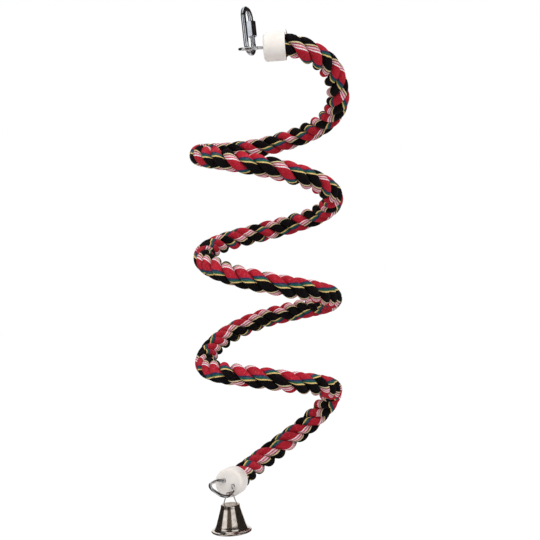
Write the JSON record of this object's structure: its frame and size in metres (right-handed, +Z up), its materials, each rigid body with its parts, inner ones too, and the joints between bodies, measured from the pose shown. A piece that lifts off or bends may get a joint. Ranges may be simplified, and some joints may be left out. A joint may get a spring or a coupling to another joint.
{
  "type": "bird climbing spiral",
  "caption": "Springy rope spiral that hangs in a bird cage from a quick link, with plastic end caps and a small bell below.",
  "frame": {"origin": "inside the top bow of the quick link, where a bar carries the toy", "axes": "+Z up, -Y towards the viewer of the picture, +X to the right"},
  "size_m": [0.1598, 0.1931, 0.4846],
  "materials": {
    "zinc_plate": "bright zinc plate",
    "spring_wire": "drawn bright steel wire",
    "rope_cotton": "soft dyed cotton yarn in red, black, blue, green, cream and pink",
    "cap_plastic": "satin moulded plastic, off-white",
    "sleeve_metal": "crimped, satin",
    "end_tape": "clear packing tape over yarn",
    "nickel_plate": "bright nickel plate"
  },
  "bodies": {
    "link": {"quick_link_body": "zinc_plate"},
    "nut": {"quick_link_nut": "zinc_plate"},
    "spiral": {"core_wire": "spring_wire", "rope": "rope_cotton", "top_cap": "cap_plastic", "top_crimp_sleeve": "sleeve_metal", "top_end_tape": "end_tape"},
    "spiral_end": {"bottom_cap": "cap_plastic", "bottom_crimp_sleeve": "sleeve_metal", "bottom_end_tape": "end_tape"},
    "bell": {"bell_shell": "nickel_plate", "bell_bail": "nickel_plate"},
    "clapper": {"clapper_wire": "nickel_plate", "clapper_ball": "nickel_plate"}
  },
  "joints": [
    {"name": "nut_travel", "type": "slide", "parent": "link", "child": "nut", "axis": [0.1045, 0, -0.9945], "range_m": [0, 0.0088]},
    {"name": "spiral_swing", "type": "hinge", "parent": "link", "child": "spiral", "pos_m": [0.00415, 0, -0.03948], "axis": [0.4067, 0.9135, 0], "range_deg": [-25, 25]},
    {"name": "spiral_stretch", "type": "slide", "parent": "spiral", "child": "spiral_end", "axis": [0, 0, -1], "range_m": [-0.04, 0.08], "stiffness_N_per_m": 60, "springref_m": -0.00535, "deforming": ["rope", "core_wire"]},
    {"name": "bell_swing", "type": "hinge", "parent": "spiral_end", "child": "bell", "pos_m": [-0.01358, -0.04809, -0.44673], "axis": [0.3517, 0.9361, 0], "range_deg": [-45, 45]},
    {"name": "clapper_swing", "type": "hinge", "parent": "bell", "child": "clapper", "pos_m": [-0.01293, -0.04834, -0.45851], "axis": [0.3517, 0.9361, 0], "range_deg": [-26, 26]}
  ]
}
